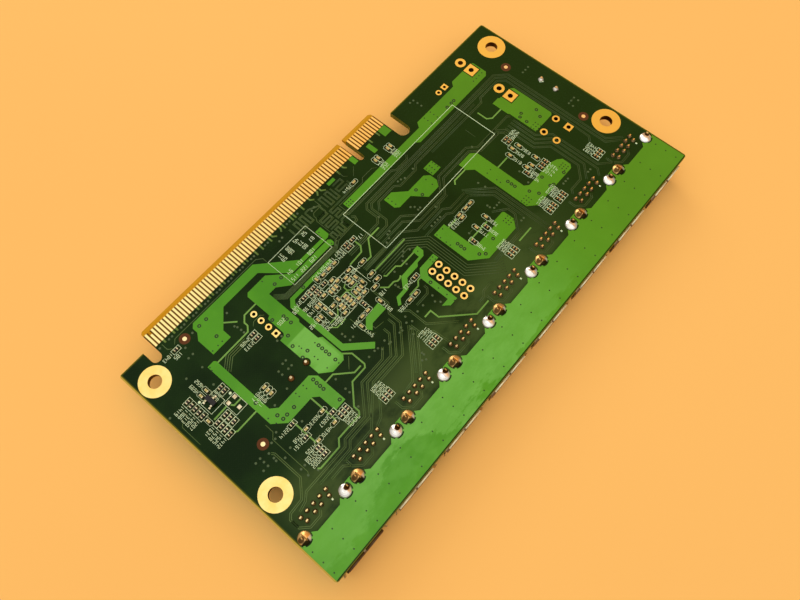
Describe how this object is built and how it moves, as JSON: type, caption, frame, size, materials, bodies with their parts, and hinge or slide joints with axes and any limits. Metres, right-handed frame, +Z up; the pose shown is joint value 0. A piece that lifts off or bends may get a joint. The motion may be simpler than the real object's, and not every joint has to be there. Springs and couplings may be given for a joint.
{
  "type": "pci express riser card",
  "caption": "Flat green riser circuit card with a gold sixteen-lane edge connector, corner mounting holes and a row of cable sockets along the opposite edge.",
  "frame": {"origin": "middle of the card's box seen from above, on the table that the socket shells and capacitor cans rest on", "axes": "+X along the row of sockets, +Y from the sockets to the edge contacts, +Z up out of the solder side"},
  "size_m": [0.1394, 0.0746, 0.0097],
  "materials": {
    "mask_green": "glossy solder mask over glass-fibre laminate",
    "mask_over_copper": "glossy solder mask over copper",
    "gold": "gold flash over nickel on copper",
    "shell_steel": "bright nickel-plated sheet steel",
    "blue_plastic": "moulded insulator, satin",
    "contact_metal": "plated copper alloy",
    "solder": "bright solder with a little flux",
    "tinned": "tinned ends and leads",
    "black_resin": "moulded black resin",
    "ceramic_brown": "fired ceramic body",
    "ferrite": "pressed powder core, matt",
    "substrate": "green package substrate",
    "can_aluminium": "drawn can, plain",
    "rubber_seal": "moulded rubber bung"
  },
  "bodies": {
    "root": {"board": "mask_green", "contacts_solder_side": "gold", "contacts_part_side": "gold", "mounting_rings": "gold", "header_two_row": "gold", "header_four_way": "gold", "jumper_pads": "gold", "power_pads": "gold", "supply_pads": "gold", "ground_pour": "mask_over_copper", "power_pours": "mask_over_copper", "power_traces": "mask_over_copper", "fiducials": "gold", "bare_pads": "tinned", "socket_1_shell": "shell_steel", "socket_1_insulator": "blue_plastic", "socket_1_contacts": "contact_metal", "socket_2_shell": "shell_steel", "socket_2_insulator": "blue_plastic", "socket_2_contacts": "contact_metal", "socket_3_shell": "shell_steel", "socket_3_insulator": "blue_plastic", "socket_3_contacts": "contact_metal", "socket_4_shell": "shell_steel", "socket_4_insulator": "blue_plastic", "socket_4_contacts": "contact_metal", "socket_5_shell": "shell_steel", "socket_5_insulator": "blue_plastic", "socket_5_contacts": "contact_metal", "socket_6_shell": "shell_steel", "socket_6_insulator": "blue_plastic", "socket_6_contacts": "contact_metal", "socket_7_shell": "shell_steel", "socket_7_insulator": "blue_plastic", "socket_7_contacts": "contact_metal", "socket_8_shell": "shell_steel", "socket_8_insulator": "blue_plastic", "socket_8_contacts": "contact_metal", "shield_solder": "solder", "pin_solder": "solder", "lead_solder": "solder", "chip_resistors": "black_resin", "chip_capacitors": "ceramic_brown", "chip_ends": "tinned", "transistor_body": "black_resin", "transistor_leads": "tinned", "switch_substrate": "substrate", "switch_cap": "black_resin", "switch_balls": "solder", "inductor_cores": "ferrite", "inductor_terminals": "tinned", "regulator_bodies": "black_resin", "regulator_leads": "tinned", "filter_capacitors": "ceramic_brown", "filter_ends": "tinned", "capacitor_can_1": "can_aluminium", "capacitor_can_2": "can_aluminium", "capacitor_seals": "rubber_seal", "capacitor_leads": "tinned", "crystal_can": "shell_steel"}
  },
  "joints": []
}
